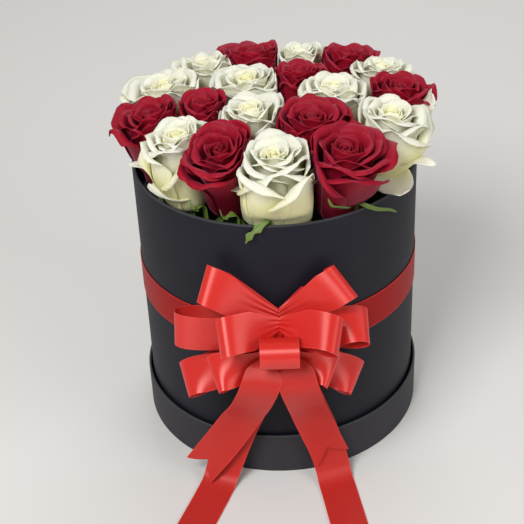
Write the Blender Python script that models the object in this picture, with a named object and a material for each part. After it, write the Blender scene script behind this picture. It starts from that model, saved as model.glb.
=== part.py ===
"""A round card hat box of nineteen roses, tied with a satin ribbon and bow.

Metres, +Z up. The origin is the middle of the box's underside, and the bow faces -Y.
"""
import math
import random

import bmesh
import bpy
from mathutils import Matrix, Vector

# Driving dimensions

GAP = 0.0003                    # clearance between pieces that touch
ROUND_SIDES = 32                # facets of everything that is concentric with the box

TUBE_RADIUS = 0.110             # card tube, outside
TUBE_WALL = 0.0025
TUBE_TOP = 0.227
LID_RADIUS = 0.1136             # upturned lid, outside
LID_WALL = 0.0018
LID_HEIGHT = 0.036
PANEL_THICKNESS = 0.002         # flat card disc of the lid
FLOOR_THICKNESS = 0.0025        # flat card disc of the tube

LINER_WALL = 0.0008
LINER_TOP = 0.192
FOAM_TOP = 0.185
STEM_FOOT = 0.145               # height of the stems' cut ends, deep in the foam
STEM_RADIUS = 0.003
HOLE_RADIUS = 0.0036
HOLE_SIDES = 6
HOLE_SPARE = 0.001              # how much deeper a hole is than its stem

RIBBON_WIDTH = 0.028
RIBBON_THICKNESS = 0.0008
BAND_BOTTOM = 0.1195
BAND_THICKNESS = 0.0006

BLADE_THICKNESS = 0.0008        # petals and sepals
BLOOM_BASE = 0.2140             # height of the lowest petals' roots
OUTER_HEART = 0.272             # height of the heart of a rose in the ring
INNER_HEART = 0.277             # height of the heart of a rose inside the ring

# Planting plan, for each rose: colour, bearing from +X in degrees, reach from the box's axis, outward lean
# in degrees, size of its body, size of its lips and heading of one of its outer petals in degrees
OUTER_ROSES = [
    ("red", 8, 0.099, 9, 0.95, 0.95, 20),
    ("white", 30, 0.101, 9, 1.05, 1.00, 60),
    ("red", 51, 0.098, 9, 1.00, 1.00, 80),
    ("white", 75, 0.089, 9, 1.05, 0.95, 40),
    ("red", 99, 0.090, 9, 1.08, 1.15, 130),
    ("white", 127, 0.088, 9, 1.05, 1.00, 100),
    ("white", 159, 0.090, 9, 1.10, 1.20, 200),
    ("red", 190, 0.093, 9, 1.00, 1.05, 215),
    ("white", 217, 0.087, 9, 1.20, 1.00, 235),
    ("red", 242, 0.084, 16, 0.95, 1.30, 262),
    ("white", 270, 0.087, 5, 1.45, 1.32, 270),
    ("red", 302, 0.095, 10, 1.12, 1.30, 285),
    ("white", 341, 0.093, 9, 1.20, 1.00, 330),
]
INNER_ROSES = [
    ("white", 9, 0.048, 4, 1.05, 1.05, 300),
    ("red", 58, 0.041, 4, 0.95, 0.95, 250),
    ("white", 125, 0.034, 4, 1.10, 1.20, 280),
    ("red", 195, 0.054, 4, 0.88, 0.90, 230),
    ("white", 237, 0.031, 4, 1.10, 1.15, 290),
    ("red", 305, 0.050, 4, 1.00, 1.25, 240),
]
GIRTH_LOW = 0.240               # a bloom has its body's size up to this height
GIRTH_HIGH = 0.268              # and its lips' size from here up

# Sepals that reach over the rim: heading from +X in degrees, by rose number

RIM_SEPALS = {11: 248, 12: 338, 13: 8}

# Colours and finishes

CARD = ((0.018, 0.019, 0.024), 0.75, 0.0)
CARD_INSIDE = ((0.10, 0.095, 0.09), 0.85, 0.0)
SATIN = ((0.62, 0.018, 0.014), 0.35, 0.0)
LINER_FILM = ((0.55, 0.58, 0.58), 0.35, 0.0)
FOAM_GREEN = ((0.05, 0.16, 0.07), 0.95, 0.0)
WHITE_PETAL = ((0.86, 0.84, 0.66), 0.55, 0.0)
RED_PETAL = ((0.22, 0.004, 0.014), 0.6, 0.0)
LEAF_GREEN = ((0.13, 0.25, 0.05), 0.6, 0.0)


# Scene and materials

def clear_scene():
    for old in list(bpy.data.objects):
        bpy.data.objects.remove(old, do_unlink=True)


def finish_material(name, finish):
    colour, roughness, metallic = finish
    made = bpy.data.materials.new(name)
    made.use_nodes = True
    shader = made.node_tree.nodes["Principled BSDF"]
    shader.inputs["Base Color"].default_value = (*colour, 1.0)
    shader.inputs["Roughness"].default_value = roughness
    shader.inputs["Metallic"].default_value = metallic
    return made


def add_piece(name, bm, finish):
    mesh = bpy.data.meshes.new(name)
    bm.to_mesh(mesh)
    bm.free()
    mesh.shade_smooth()
    mesh.set_sharp_from_angle(angle=math.radians(35))
    piece = bpy.data.objects.new(name, mesh)
    bpy.context.scene.collection.objects.link(piece)
    mesh.materials.append(finish_material(name, finish))
    return piece


# Shapes that several pieces share

def turned(profile, sides):
    """A solid of revolution about Z; the profile's points are (radius, height), in order round it."""
    bm = bmesh.new()
    start = [bm.verts.new((radius, 0.0, height)) for radius, height in profile]
    closed = profile[0][0] > 0.0
    pairs = list(zip(start, start[1:]))
    if closed:
        pairs.append((start[-1], start[0]))
    edges = [bm.edges.new(pair) for pair in pairs]
    bmesh.ops.spin(
        bm, geom=start + edges, cent=(0, 0, 0), axis=(0, 0, 1), angle=math.tau, steps=sides, use_merge=True)
    bmesh.ops.remove_doubles(bm, verts=bm.verts[:], dist=1e-6)
    bmesh.ops.recalc_face_normals(bm, faces=bm.faces[:])
    return bm


def hoop(inner, outer, bottom, top):
    return turned([(inner, bottom), (outer, bottom), (outer, top), (inner, top)], ROUND_SIDES)


def disc(radius, bottom, top):
    return turned([(0.0, bottom), (radius, bottom), (radius, top), (0.0, top)], ROUND_SIDES)


def blade(point_at, across, along, thickness):
    """A thin sheet bent to point_at(u, v), with u from -1 to 1 across it and v from 0 to 1 along it."""
    bm = bmesh.new()
    bmesh.ops.create_grid(bm, x_segments=across, y_segments=along, size=1.0)
    bmesh.ops.triangulate(bm, faces=bm.faces[:])
    for vert in bm.verts:
        vert.co = point_at(vert.co.x, (vert.co.y + 1.0) / 2.0)
    bm.normal_update()
    bmesh.ops.solidify(bm, geom=bm.faces[:], thickness=thickness)
    bmesh.ops.recalc_face_normals(bm, faces=bm.faces[:])
    return bm


def smooth_step(value):
    value = min(max(value, 0.0), 1.0)
    return value * value * (3.0 - 2.0 * value)


def smooth_route(points, share):
    """A point of the smooth curve through the given points, at a share of the way along them."""
    place = share * (len(points) - 1)
    index = min(int(place), len(points) - 2)
    step = place - index
    before = Vector(points[max(index - 1, 0)])
    start = Vector(points[index])
    end = Vector(points[index + 1])
    after = Vector(points[min(index + 2, len(points) - 1)])
    cubic = (after - before) * 0.5 + (start - end) * 1.5
    square = before - start * 2.5 + end * 2.0 - after * 0.5
    slope = (end - before) * 0.5
    return start + (slope + (square + cubic * step) * step) * step


def join_pieces(base, extras):
    """Fuses the extra objects into the base one and removes them."""
    gathered = bpy.data.collections.new(base.name + "_parts")
    for extra in extras:
        gathered.objects.link(extra)
    fuse = base.modifiers.new("fuse", 'BOOLEAN')
    fuse.operation = 'UNION'
    fuse.operand_type = 'COLLECTION'
    fuse.collection = gathered
    fuse.solver = 'EXACT'
    apply_modifiers(base)
    for extra in extras:
        bpy.data.objects.remove(extra, do_unlink=True)
    bpy.data.collections.remove(gathered)


def apply_modifiers(piece):
    bpy.context.view_layer.update()
    shape = piece.evaluated_get(bpy.context.evaluated_depsgraph_get())
    mesh = bpy.data.meshes.new_from_object(shape)
    piece.modifiers.clear()
    piece.data = mesh


# Card box: a tube with its floor, standing in the upturned lid

def build_box():
    seat = PANEL_THICKNESS + GAP
    inside = TUBE_RADIUS - TUBE_WALL
    add_piece("box_tube", hoop(inside, TUBE_RADIUS, seat, TUBE_TOP), CARD)
    add_piece("box_floor", disc(inside - GAP, seat, seat + FLOOR_THICKNESS), CARD_INSIDE)
    add_piece("lid_rim", hoop(LID_RADIUS - LID_WALL, LID_RADIUS, 0.0, LID_HEIGHT), CARD)
    add_piece("lid_panel", disc(LID_RADIUS - LID_WALL - GAP, 0.0, PANEL_THICKNESS), CARD)


# Liner: a thin plastic tub that holds the wet foam

def build_liner():
    outside = TUBE_RADIUS - TUBE_WALL - GAP
    bottom = PANEL_THICKNESS + FLOOR_THICKNESS + 2 * GAP
    inside = outside - LINER_WALL
    profile = [
        (0.0, bottom), (outside, bottom), (outside, LINER_TOP),
        (inside, LINER_TOP), (inside, bottom + LINER_WALL), (0.0, bottom + LINER_WALL),
    ]
    add_piece("liner", turned(profile, ROUND_SIDES), LINER_FILM)
    return inside - GAP, bottom + LINER_WALL + GAP


# Roses: where each one stands and how far it may spread

def rose_plan():
    roses = []
    for ring, heart in ((OUTER_ROSES, OUTER_HEART), (INNER_ROSES, INNER_HEART)):
        for colour, bearing, reach, lean, body_size, lip_size, heading in ring:
            roses.append({
                "number": len(roses) + 1,
                "colour": colour,
                "outward": Vector((math.cos(math.radians(bearing)), math.sin(math.radians(bearing)))),
                "reach": reach,
                "heart": heart,
                "base": BLOOM_BASE + heart - OUTER_HEART,
                "lean": math.radians(lean),
                "sizes": (body_size, lip_size),
                "heading": math.radians(heading),
            })
    return roses


def axis_at(rose, height):
    """The rose's own axis, which leans outward, where it passes a height."""
    return rose["outward"] * (rose["reach"] - (rose["heart"] - height) * math.tan(rose["lean"]))


def size_at(rose, height):
    """A bloom's size at a height: its body's low down and its lips' at the top."""
    body_size, lip_size = rose["sizes"]
    return body_size + (lip_size - body_size) * smooth_step((height - GIRTH_LOW) / (GIRTH_HIGH - GIRTH_LOW))


RIM_SLOPE = 1.3                 # how fast a bloom may widen over the rim, per metre of height
CELL_SHARPNESS = 12             # how closely a pressed bloom follows the corners of its place
CELL_MARGIN = 0.0009            # a blade and its clearance, kept on each side
WALL_MARGIN = 0.0055            # room for a sepal between a bloom and the card's edge
FULLNESS = 6                    # how far petals keep their own reach before they press together


def room_towards(rose, roses, height, heading):
    """How far the rose may spread along a heading before it meets a neighbour or the card."""
    axis = axis_at(rose, height)
    size = size_at(rose, height)
    pressed = 0.0
    for other in roses:
        if other is rose:
            continue
        apart = axis_at(other, height) - axis
        facing = heading.dot(apart.normalized())
        if facing > 0.0:
            own_share = size / (size + size_at(other, height))
            room = (apart.length * own_share - CELL_MARGIN) / facing
            pressed += room ** -CELL_SHARPNESS
    wall = TUBE_RADIUS - TUBE_WALL - WALL_MARGIN + RIM_SLOPE * max(height - TUBE_TOP, 0.0)
    along = axis.dot(heading)
    room = -along + math.sqrt(along ** 2 + wall ** 2 - axis.length_squared)
    pressed += room ** -CELL_SHARPNESS
    return pressed ** (-1.0 / CELL_SHARPNESS)


def plant(rose, roses, point):
    """Moves a point of a free-standing bloom to its place in the packed box."""
    flat = Vector((point.x, point.y))
    away = flat.dot(rose["outward"])
    height = rose["base"] + point.z - away * math.tan(rose["lean"])
    axis = axis_at(rose, height)
    if flat.length < 1e-6:
        return Vector((axis.x, axis.y, height))
    crowding = flat.length / room_towards(rose, roses, height, flat.normalized())
    place = axis + flat * (1.0 + crowding ** FULLNESS) ** (-1.0 / FULLNESS)
    return Vector((place.x, place.y, height))


# Roses: petals

# Each whorl: how many petals, radius and height of their roots, their length, half the angle that one
# spans, its rise in degrees at root, middle and lip, and how tightly its lips fold back
INNER_WHORL = dict(
    count=3, root=0.0050, foot=0.0060, length=0.065, half_angle=47, rises=(22, 90, 45), fold_radius=0.014)
OUTER_WHORL = dict(
    count=5, root=0.0040, foot=0.0010, length=0.077, half_angle=28, rises=(0, 88, -20), fold_radius=0.0060)
UPTURN = 0.36                   # share of a petal's length in which it turns up from its root
LIP_START = 0.68                # share of its length where its lip starts to roll out
PROFILE_STEPS = 60
ROW_SPACING = 0.75              # rows of facets are closer together towards the lip than at the root
PETAL_BOW = 1.15                # radius across a petal, as a share of its distance from the bloom's axis
PETAL_ROOT_WIDTH = 0.38         # width at the root, as a share of the width that half_angle gives
PETAL_WIDENING = 0.33           # share of the length in which a petal reaches its full width
SHOULDER_DROP = 0.24            # how much shorter a petal is at its sides than at its tip
SHOULDER_CURVE = 2.5            # how suddenly it gets shorter towards its sides
FOLD_START = 0.003              # from the fold line to the tip
FOLD_LIMIT = 2.2                # most that a lip is rolled, in radians
TIP_ANGLES = (34, 48)           # how pointed a folded tip is, in degrees, least and most
WHORL_TURN = math.radians(30)   # the inner whorl is turned back against the outer one
PETAL_JITTER = 0.025            # most that a petal strays round the bloom, in radians


def sized(rose, point):
    """A large bloom is wider than a small one, and as tall."""
    size = size_at(rose, rose["base"] + point.z)
    return Vector((point.x * size, point.y * size, point.z))


def petal_profile(whorl):
    """Radius, height and rise of a petal's middle line at even steps from its root to its lip."""
    root_rise, middle_rise, lip_rise = (math.radians(rise) for rise in whorl["rises"])
    step = whorl["length"] / PROFILE_STEPS
    radius = whorl["root"]
    height = whorl["foot"]
    line = []
    for index in range(PROFILE_STEPS + 1):
        share = index / PROFILE_STEPS
        rise = root_rise + (middle_rise - root_rise) * smooth_step(share / UPTURN)
        rise += (lip_rise - middle_rise) * smooth_step((share - LIP_START) / (1.0 - LIP_START))
        line.append((radius, height, rise))
        radius += step * math.cos(rise)
        height += step * math.sin(rise)
    return line


def petal_shape(whorl, line, turn, tip_angle):
    """Returns point_at(u, v) of one petal of a free-standing bloom."""
    length = whorl["length"]
    half_angle = math.radians(whorl["half_angle"])
    fold_radius = whorl["fold_radius"]

    def on_line(along):
        place = min(max(along / length, 0.0), 1.0) * PROFILE_STEPS
        index = min(int(place), PROFILE_STEPS - 1)
        blend = place - index
        return (a + (b - a) * blend for a, b in zip(line[index], line[index + 1]))

    def point_at(u, v):
        along = v * length * (1.0 - SHOULDER_DROP * abs(u) ** SHOULDER_CURVE)
        radius, height, rise = on_line(along)
        bow_radius = radius * PETAL_BOW
        widening = PETAL_ROOT_WIDTH + (1.0 - PETAL_ROOT_WIDTH) * smooth_step(v / PETAL_WIDENING)
        across = u * half_angle * bow_radius * widening
        past_fold = (along - length + FOLD_START) * math.cos(tip_angle) + abs(across) * math.sin(tip_angle)
        lift = 0.0
        if past_fold > 0.0:
            bend = min(past_fold / fold_radius, FOLD_LIMIT)
            kept = fold_radius * math.sin(bend)
            lift = fold_radius * (1.0 - math.cos(bend))
            along -= (past_fold - kept) * math.cos(tip_angle)
            across -= math.copysign((past_fold - kept) * math.sin(tip_angle), across) if u else 0.0
            radius, height, rise = on_line(along)
        angle = across / bow_radius
        out = bow_radius + lift * math.sin(rise)
        x = (radius - bow_radius) + out * math.cos(angle)
        y = out * math.sin(angle)
        z = height - lift * math.cos(rise)
        return Vector((x * math.cos(turn) - y * math.sin(turn), x * math.sin(turn) + y * math.cos(turn), z))

    return point_at


HEART_SIDES = 5
HEART_PROFILE = [
    (0.0, 0.0), (0.0062, 0.0), (0.0105, 0.010), (0.0122, 0.046), (0.0078, 0.0570), (0.0, 0.0560),
]


def build_bloom(rose, roses, draw):
    """The petals of one rose, joined at their roots to its closed heart."""
    name = "rose_%02d_%s_bloom" % (rose["number"], rose["colour"])
    finish = WHITE_PETAL if rose["colour"] == "white" else RED_PETAL
    heart = turned(HEART_PROFILE, HEART_SIDES)
    for vert in heart.verts:
        vert.co = plant(rose, roses, sized(rose, vert.co))
    bloom = add_piece(name, heart, finish)
    petals = []
    for whorl, across, along, first_turn in (
            (INNER_WHORL, 2, 2, rose["heading"] - WHORL_TURN), (OUTER_WHORL, 3, 3, rose["heading"])):
        line = petal_profile(whorl)
        for index in range(whorl["count"]):
            turn = first_turn + math.tau * index / whorl["count"] + draw.uniform(-PETAL_JITTER, PETAL_JITTER)
            shape = petal_shape(whorl, line, turn, math.radians(draw.uniform(*TIP_ANGLES)))
            sheet = blade(
                lambda u, v: plant(rose, roses, sized(rose, shape(u, v ** ROW_SPACING))), across, along,
                BLADE_THICKNESS)
            petals.append(add_piece("%s_petal_%d" % (name, len(petals)), sheet, finish))
    join_pieces(bloom, petals)


# Roses: stem, hip and sepals

GREEN_SIDES = 5
HIP_TOP = -0.0012               # the five sepals grow from the hip's faces between these two heights
HIP_BOTTOM = -0.0032
HIP_RADIUS = 0.0058             # at its widest, and a little less where it meets the bloom and the stem
HIP_NECK_RADIUS = 0.0050
STEM_TOP = -0.0105

# A free sepal's stations: distance from the stem, height against the bloom's base and half width
SEPAL_ROUTE = [(0.0130, -0.0015, 0.0026), (0.0220, -0.0085, 0.0006)]
SEPAL_DROOP = (0.8, 1.2)        # least and most of that height
SEPAL_TURN = math.radians(36)   # sepals stand between the outer petals
SEPAL_SPARE = 0.003             # from a free sepal's tip to a neighbour or the card
SEPAL_LEAST = 0.0125            # shortest reach of a free sepal

# A rim sepal's stations: distance out from the rim's edge, height over it, half width and dip in degrees
RIM_ROUTE = [
    (-0.0150, -0.0190, 0.0022, -20), (-0.0075, -0.0125, 0.0024, -60), (-0.0056, 0.0008, 0.0024, -50),
    (-0.0003, 0.0025, 0.0024, 0), (0.0028, 0.0013, 0.0026, 35), (0.0055, -0.0047, 0.0022, 65),
    (0.0070, -0.0127, 0.0007, 85),
]


def grow_sepal(green, root, course, stations):
    """Draws a sepal out of a face of the hip, through stations of centre, half width and rise of its face."""
    face = root
    for centre, half, lift in stations:
        grown = bmesh.ops.extrude_discrete_faces(green, faces=[face])
        face = grown["faces"][0]
        side = Vector((-course.y, course.x, 0.0))
        thick = course * math.sin(lift) * -BLADE_THICKNESS + Vector((0, 0, math.cos(lift) * BLADE_THICKNESS))
        middle = face.calc_center_median()
        for vert in face.verts:
            right = math.copysign(1.0, (vert.co - middle).dot(side))
            upper = math.copysign(0.5, vert.co.z - middle.z)
            vert.co = centre + side * half * right + thick * upper


def free_stations(rose, roses, course, droop):
    """A sepal that leaves the hip level and then hangs, under the bloom."""
    longest = SEPAL_ROUTE[-1][0]
    reach = max(room_towards(rose, roses, rose["base"], course.to_2d()) - SEPAL_SPARE, SEPAL_LEAST)
    stations = []
    for out, drop, half in SEPAL_ROUTE:
        flat = course.to_2d() * out * min(reach / longest, 1.0)
        height = rose["base"] + drop * droop - flat.dot(rose["outward"]) * math.tan(rose["lean"])
        place = axis_at(rose, height) + flat
        stations.append((Vector((place.x, place.y, height)), half, -math.atan2(drop * droop, out)))
    return stations


def rim_stations(rose, course):
    """A sepal that lies over the box's rim and hangs down outside."""
    axis = axis_at(rose, rose["base"])
    along = axis.dot(course.to_2d())
    to_rim = -along + math.sqrt(along ** 2 + TUBE_RADIUS ** 2 - axis.length_squared)
    stations = []
    for out, over, half, dip in RIM_ROUTE:
        place = Vector((axis.x, axis.y, TUBE_TOP + over)) + course * (to_rim + out)
        stations.append((place, half, math.radians(-dip)))
    return stations


def build_stem(rose, roses, draw):
    """Stem, hip and five sepals, one green growth under the bloom."""
    depth = rose["base"] - STEM_FOOT
    profile = [
        (0.0, -depth), (STEM_RADIUS, -depth), (STEM_RADIUS, STEM_TOP), (HIP_NECK_RADIUS, HIP_BOTTOM),
        (HIP_RADIUS, HIP_TOP), (HIP_NECK_RADIUS, -GAP), (0.0, -GAP),
    ]
    green = turned(profile, GREEN_SIDES)
    over_rim = rose["number"] in RIM_SEPALS
    first_turn = math.radians(RIM_SEPALS[rose["number"]]) if over_rim else rose["heading"] + SEPAL_TURN
    bmesh.ops.rotate(
        green, verts=green.verts[:], cent=(0, 0, 0),
        matrix=Matrix.Rotation(first_turn - math.pi / GREEN_SIDES, 3, 'Z'))
    first_course = Vector((math.cos(first_turn), math.sin(first_turn), 0.0))
    roots = [face for face in green.faces if HIP_BOTTOM < face.calc_center_median().z < HIP_TOP]
    roots.sort(key=lambda face: -face.calc_center_median().dot(first_course))
    courses = []
    for face in roots:
        middle = face.calc_center_median()
        courses.append(Vector((middle.x, middle.y, 0.0)).normalized())
    for vert in green.verts:
        vert.co = plant(rose, roses, vert.co)
    for face, course in zip(roots, courses):
        if over_rim and face is roots[0]:
            stations = rim_stations(rose, course)
        else:
            stations = free_stations(rose, roses, course, draw.uniform(*SEPAL_DROOP))
        grow_sepal(green, face, course, stations)
    bmesh.ops.recalc_face_normals(green, faces=green.faces[:])
    add_piece("rose_%02d_stem" % rose["number"], green, LEAF_GREEN)


# Floral foam with a plain hole for each stem

def build_foam(roses, radius, bottom):
    foam = add_piece("foam", disc(radius, bottom, FOAM_TOP), FOAM_GREEN)
    drills = bmesh.new()
    for rose in roses:
        low = STEM_FOOT - HOLE_SPARE
        high = FOAM_TOP + HOLE_SPARE
        hole = bmesh.ops.create_cone(
            drills, cap_ends=True, segments=HOLE_SIDES, radius1=HOLE_RADIUS, radius2=HOLE_RADIUS, depth=high - low)
        for vert in hole["verts"]:
            height = vert.co.z + (high + low) / 2
            axis = axis_at(rose, height)
            vert.co = Vector((vert.co.x + axis.x, vert.co.y + axis.y, height))
    cutter = add_piece("stem_holes", drills, FOAM_GREEN)
    cutter.hide_render = True
    cutter.display_type = 'WIRE'
    drill = foam.modifiers.new("holes", 'BOOLEAN')
    drill.operation = 'DIFFERENCE'
    drill.object = cutter
    drill.solver = 'EXACT'
    apply_modifiers(foam)
    bpy.data.objects.remove(cutter, do_unlink=True)


# Ribbon: the band round the tube

def build_band():
    inside = TUBE_RADIUS + GAP
    band = hoop(inside, inside + BAND_THICKNESS, BAND_BOTTOM, BAND_BOTTOM + RIBBON_WIDTH)
    add_piece("ribbon_band", band, SATIN)


# Bow: its tie and centre loop

BAND_FRONT = TUBE_RADIUS + GAP + BAND_THICKNESS
TIE_MIDDLE = -0.001             # the bow's middle lies a little left of the box's axis
TIE_HALF = 0.004
TIE_BOTTOM = 0.121
TIE_TOP = 0.160
TIE_FRONT = 0.1270
NECK_FRONT = 0.1382
NECK_SEAT = 0.002               # how deep the neck sits in the tie
NECK_BOTTOM = 0.139
NECK_TOP = 0.150
CENTRE_LOOP_RADIUS = 0.0112
CENTRE_LOOP_AT = (-0.0015, -0.1482, 0.1445)
CENTRE_LOOP_SIDES = 14
# The centre loop's upper end is drawn back to the tie as a fan, from one point to the other
FAN_ROUTE = ((-0.0015, -0.1482, 0.1555), (-0.0010, -0.1262, 0.1590))
FAN_HALF = 0.0136


def block(x_range, y_range, z_range):
    bm = bmesh.new()
    bmesh.ops.create_cube(bm, size=1.0)
    for vert in bm.verts:
        for axis, (low, high) in enumerate((x_range, y_range, z_range)):
            vert.co[axis] = (low + high) / 2 + vert.co[axis] * (high - low)
    return bm


def fan_point(u, v):
    """The pleated end of the centre loop, which narrows from the loop's top to the tie's."""
    start, end = (Vector(place) for place in FAN_ROUTE)
    half = FAN_HALF + (TIE_HALF - GAP - FAN_HALF) * v
    return start.lerp(end, v) + Vector((half * u, 0.0, 0.0))


def build_bow_centre():
    sides = (TIE_MIDDLE - TIE_HALF, TIE_MIDDLE + TIE_HALF)
    tie = block(sides, (-TIE_FRONT, -BAND_FRONT - GAP), (TIE_BOTTOM, TIE_TOP))
    neck = block(sides, (-NECK_FRONT, -TIE_FRONT + NECK_SEAT), (NECK_BOTTOM, NECK_TOP))
    ring = turned([
        (CENTRE_LOOP_RADIUS - RIBBON_THICKNESS, -RIBBON_WIDTH / 2), (CENTRE_LOOP_RADIUS, -RIBBON_WIDTH / 2),
        (CENTRE_LOOP_RADIUS, RIBBON_WIDTH / 2), (CENTRE_LOOP_RADIUS - RIBBON_THICKNESS, RIBBON_WIDTH / 2),
    ], CENTRE_LOOP_SIDES)
    bmesh.ops.rotate(ring, verts=ring.verts[:], cent=(0, 0, 0), matrix=Matrix.Rotation(math.pi / 2, 3, 'Y'))
    bmesh.ops.translate(ring, verts=ring.verts[:], vec=CENTRE_LOOP_AT)
    centre = add_piece("bow_centre", tie, SATIN)
    fan = blade(fan_point, 2, 2, RIBBON_THICKNESS)
    join_pieces(centre, [
        add_piece("neck", neck, SATIN), add_piece("centre_loop", ring, SATIN), add_piece("fan", fan, SATIN)])


# Bow: its loops

# Each loop: name, height and half width of its gathered root, depth of the root from the box's axis, end as
# (x, y, z), turn of its end edge from upright seen from the front, tilt of that edge back towards the card,
# and depth of its opening
LOOPS = [
    ("bow_loop_left_top", 0.1560, 0.0060, 0.1158, (-0.0550, -0.1170, 0.1860), 20, 16, 0.014),
    ("bow_loop_left_side", 0.1420, 0.0062, 0.1155, (-0.0780, -0.1130, 0.1455), 3, 6, 0.017),
    ("bow_loop_left_front", 0.1515, 0.0085, 0.1243, (-0.0445, -0.1450, 0.1570), -9, 38, 0.014),
    ("bow_loop_left_low", 0.1280, 0.0062, 0.1158, (-0.0740, -0.1165, 0.0980), -24, 52, 0.013),
    ("bow_loop_left_low_front", 0.1270, 0.0065, 0.1235, (-0.0510, -0.1360, 0.1170), -27, 48, 0.011),
    ("bow_loop_right_top", 0.1565, 0.0060, 0.1158, (0.0475, -0.1170, 0.1835), -40, 16, 0.013),
    ("bow_loop_right_side", 0.1420, 0.0062, 0.1165, (0.0635, -0.1225, 0.1465), 0, 60, 0.015),
    ("bow_loop_right_front", 0.1515, 0.0085, 0.1243, (0.0415, -0.1475, 0.1560), 20, 54, 0.015),
    ("bow_loop_right_low", 0.1280, 0.0062, 0.1158, (0.0560, -0.1145, 0.0920), 40, 50, 0.011),
    ("bow_loop_right_low_front", 0.1270, 0.0065, 0.1225, (0.0375, -0.1335, 0.1148), 34, 44, 0.009),
]
LOOP_ROOT_APART = 0.0011        # half the distance between a loop's two legs at the tie
LOOP_FLARE = 0.17               # how fast a gathered loop opens to its full width, per metre of reach
LOOP_STEPS = 9
EDGE_TURN_LATE = 2.0            # a loop's edges keep upright near the tie and turn towards its end
LOOP_SWELL_PEAK = 0.65          # the greatest value of sin(2 pi v) sin(pi v)^2


def loop_shape(root_height, root_half, root_depth, end, end_turn, end_tilt, opening):
    """Returns point_at(u, v) of a loop that leaves the tie, turns round at its end and comes back."""
    side = math.copysign(1.0, end[0])
    slant = abs(end[1] + root_depth) / math.hypot(end[0], end[1] + root_depth)
    clearance = GAP + (RIBBON_THICKNESS + LOOP_ROOT_APART) * slant
    root = Vector((TIE_MIDDLE + side * (TIE_HALF + clearance), -root_depth, root_height))
    reach = Vector(end) - root
    turn = math.radians(end_turn)
    tilt = math.radians(end_tilt)
    end_edge = Vector((math.sin(turn) * math.cos(tilt), math.sin(tilt), math.cos(turn) * math.cos(tilt)))
    root_edge = Vector((0.0, 0.0, 1.0))

    def point_at(u, v):
        out = (1.0 - math.cos(math.tau * v)) / 2.0
        swell = math.sin(math.tau * v) * math.sin(math.pi * v) ** 2 / LOOP_SWELL_PEAK
        edge = root_edge.lerp(end_edge, smooth_step(out ** EDGE_TURN_LATE)).normalized()
        front = edge.cross(reach).normalized() * side
        half = min(RIBBON_WIDTH / 2, root_half + LOOP_FLARE * out * reach.length)
        depth = -opening / 2 * swell + LOOP_ROOT_APART * (2.0 * v - 1.0)
        return root + reach * out + front * depth + edge * half * u

    return point_at


def build_loops():
    for name, *place in LOOPS:
        add_piece(name, blade(loop_shape(*place), 1, LOOP_STEPS, RIBBON_THICKNESS), SATIN)


# Bow: its tails

# Each tail: name, the route of its middle line from the tie, and how deep its end is notched
LEFT_LONG = [
    (-0.0065, -0.1279, 0.1315), (-0.0122, -0.1392, 0.1220), (-0.0172, -0.1446, 0.1100), (-0.0225, -0.1382, 0.0930),
    (-0.0302, -0.1240, 0.0670), (-0.0392, -0.1180, 0.0400), (-0.0480, -0.1190, 0.0140), (-0.0535, -0.1270, 0.0022),
    (-0.0600, -0.1440, 0.0006), (-0.0690, -0.1680, 0.0006), (-0.0770, -0.1890, 0.0006),
]
LEFT_SHORT = [
    (-0.0065, -0.1293, 0.1315), (-0.0122, -0.1411, 0.1225), (-0.0178, -0.1470, 0.1100), (-0.0237, -0.1412, 0.0920),
    (-0.0340, -0.1275, 0.0660), (-0.0490, -0.1212, 0.0390), (-0.0660, -0.1200, 0.0140),
]
RIGHT_LONG = [
    (0.0048, -0.1279, 0.1315), (0.0088, -0.1392, 0.1220), (0.0120, -0.1446, 0.1100), (0.0162, -0.1382, 0.0930),
    (0.0214, -0.1240, 0.0670), (0.0286, -0.1180, 0.0400), (0.0355, -0.1190, 0.0140), (0.0385, -0.1270, 0.0022),
    (0.0415, -0.1440, 0.0006), (0.0450, -0.1680, 0.0006), (0.0480, -0.1890, 0.0006),
]
RIGHT_SHORT = [
    (0.0048, -0.1293, 0.1315), (0.0088, -0.1411, 0.1225), (0.0120, -0.1470, 0.1100), (0.0160, -0.1412, 0.0920),
    (0.0212, -0.1275, 0.0660), (0.0288, -0.1212, 0.0400), (0.0370, -0.1200, 0.0180),
]
TAILS = [
    ("tail_left_long", LEFT_LONG, 0.010, 12),
    ("tail_left_short", LEFT_SHORT, 0.012, 8),
    ("tail_right_long", RIGHT_LONG, 0.010, 12),
    ("tail_right_short", RIGHT_SHORT, 0.013, 8),
]
TAIL_ROOT_HALF = 0.0038
TAIL_FLARE = 0.018              # drop over which a gathered tail opens to its full width
NOTCH_START = 0.7               # share of a tail's length where its mesh starts to lean into the notch
COURSE_STEP = 0.01              # share of a route over which its direction is taken


def tail_shape(route, notch):
    """Returns point_at(u, v) of a ribbon end that falls along its route and is cut to a notch."""
    lengths = [(Vector(b) - Vector(a)).length for a, b in zip(route, route[1:])]
    total = sum(lengths)

    def point_at(u, v):
        notched = smooth_step((v - NOTCH_START) / (1.0 - NOTCH_START))
        share = v * (1.0 - (1.0 - abs(u)) * notch / total * notched)
        here = smooth_route(route, share)
        ahead = smooth_route(route, min(share + COURSE_STEP, 1.0))
        course = (ahead - smooth_route(route, max(share - COURSE_STEP, 0.0))).normalized()
        level = Vector((-here.y, here.x, 0.0)).normalized()
        level = (level - course * course.dot(level)).normalized()
        opened = smooth_step((route[0][2] - here.z) / TAIL_FLARE)
        half = TAIL_ROOT_HALF + (RIBBON_WIDTH / 2 - TAIL_ROOT_HALF) * opened
        return here + level * half * u

    return point_at


def build_tails():
    for name, route, notch, steps in TAILS:
        add_piece(name, blade(tail_shape(route, notch), 2, steps, RIBBON_THICKNESS), SATIN)


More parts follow.
